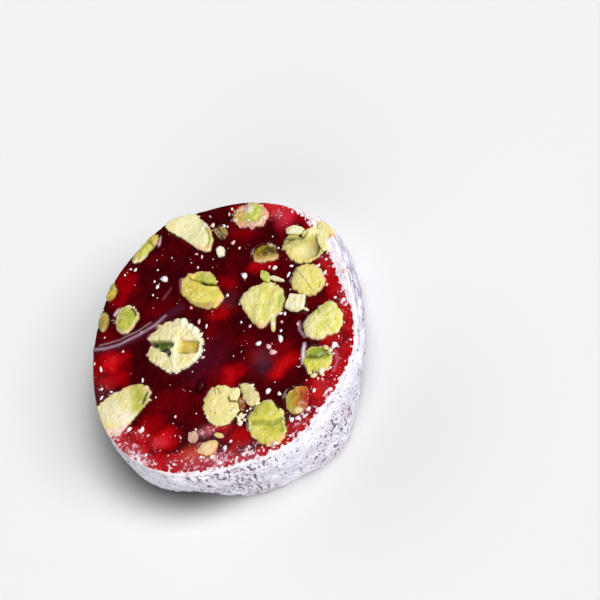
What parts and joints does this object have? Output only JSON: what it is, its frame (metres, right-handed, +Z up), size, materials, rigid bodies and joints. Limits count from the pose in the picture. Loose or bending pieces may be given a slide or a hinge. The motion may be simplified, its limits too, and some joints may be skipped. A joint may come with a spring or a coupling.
{
  "type": "turkish delight",
  "caption": "Round slice of a rolled turkish delight: dark red jelly full of whole pistachio kernels, with a powdered sugar crust round its side.",
  "frame": {"origin": "middle of the bounding box at the lower cut face, on the surface the slice lies on", "axes": "+Z up through the slice's thickness, from the lower cut face to the upper one; +X and +Y lie in the cut, +Y towards the wedge-shaped kernel at the rim"},
  "size_m": [0.058, 0.0582, 0.0153],
  "materials": {
    "jelly": "wet, clear dark red jelly",
    "pistachio": "cut and broken pistachio kernel, pale yellow-green with a cream rim",
    "sugar_crust": "caked powdered sugar with dark pits where the jelly shows through"
  },
  "bodies": {
    "root": {"jelly": "jelly", "pistachio_broken": "pistachio", "pistachio_cracked": "pistachio", "pistachio_cupped": "pistachio", "pistachio_disc": "pistachio", "pistachio_folded": "pistachio", "pistachio_glazed": "pistachio", "pistachio_heart": "pistachio", "pistachio_hollow": "pistachio", "pistachio_large": "pistachio", "pistachio_left_rim": "pistachio", "pistachio_long": "pistachio", "pistachio_pale": "pistachio", "pistachio_round": "pistachio", "pistachio_shard": "pistachio", "pistachio_sliver": "pistachio", "pistachio_small": "pistachio", "pistachio_split": "pistachio", "pistachio_sunken": "pistachio", "pistachio_top_rim": "pistachio", "pistachio_under_east": "pistachio", "pistachio_under_left": "pistachio", "pistachio_under_north": "pistachio", "pistachio_under_south": "pistachio", "pistachio_under_west": "pistachio", "pistachio_wedge": "pistachio", "pistachio_west_lower": "pistachio", "pistachio_west_upper": "pistachio", "sugar_crust": "sugar_crust"}
  },
  "joints": []
}
